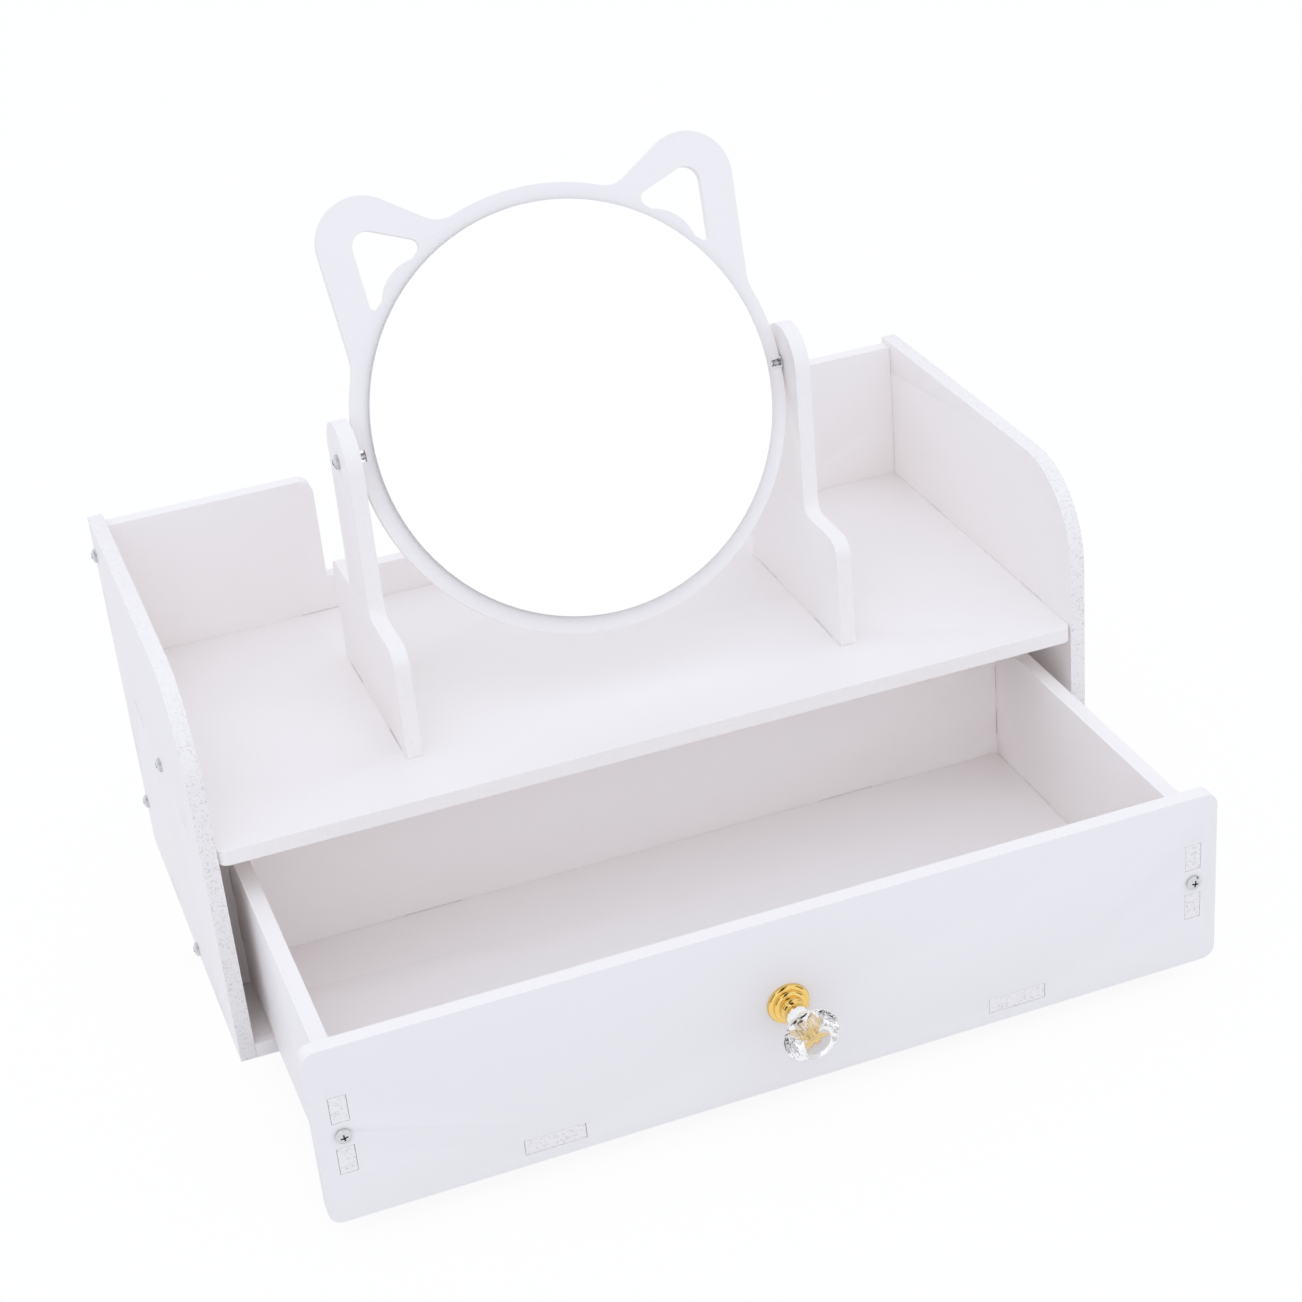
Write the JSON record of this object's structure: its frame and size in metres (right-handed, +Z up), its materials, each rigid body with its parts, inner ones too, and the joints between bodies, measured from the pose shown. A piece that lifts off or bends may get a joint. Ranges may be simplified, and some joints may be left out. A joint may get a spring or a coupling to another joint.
{
  "type": "vanity mirror organiser with drawer",
  "caption": "White board desktop organiser with side panels, an open shelf, a tilting round mirror on an eared disc between two posts, and a drawer with a faceted knob under the shelf.",
  "frame": {"origin": "on the table, under the middle of the cabinet's footprint", "axes": "+X along the width to the user's right, +Y to the back, +Z up; the drawer opens towards -Y"},
  "size_m": [0.354, 0.3018, 0.2797],
  "materials": {
    "white_board": "satin white foam board with a rough sawn edge",
    "screw_steel": "bright zinc plate",
    "mirror_glass": "silvered glass",
    "foam_tape": "white double-sided foam tape",
    "gold_plate": "polished gold plate",
    "crystal": "clear cut crystal"
  },
  "bodies": {
    "cabinet": {"left_side_panel": "white_board", "right_side_panel": "white_board", "back_panel": "white_board", "shelf_board": "white_board", "bottom_board": "white_board", "left_mirror_post": "white_board", "right_mirror_post": "white_board", "side_screws": "screw_steel", "rear_screws": "screw_steel", "post_screws": "screw_steel"},
    "mirror": {"mirror_frame": "white_board", "mirror_glass": "mirror_glass", "mirror_tape": "foam_tape", "pivot_screws": "screw_steel", "pivot_spacers": "screw_steel"},
    "drawer": {"drawer_front": "white_board", "drawer_left_side": "white_board", "drawer_right_side": "white_board", "drawer_back": "white_board", "drawer_floor": "white_board", "drawer_screws": "screw_steel", "knob_base": "gold_plate", "knob_crystal": "crystal", "knob_screw": "screw_steel"}
  },
  "joints": [
    {"name": "mirror_tilt", "type": "hinge", "parent": "cabinet", "child": "mirror", "pos_m": [0, -0.0105, 0.194], "axis": [1, 0, 0], "continuous": true},
    {"name": "drawer_slide", "type": "slide", "parent": "cabinet", "child": "drawer", "axis": [0, -1, 0], "range_m": [-0.11, 0.025]}
  ]
}
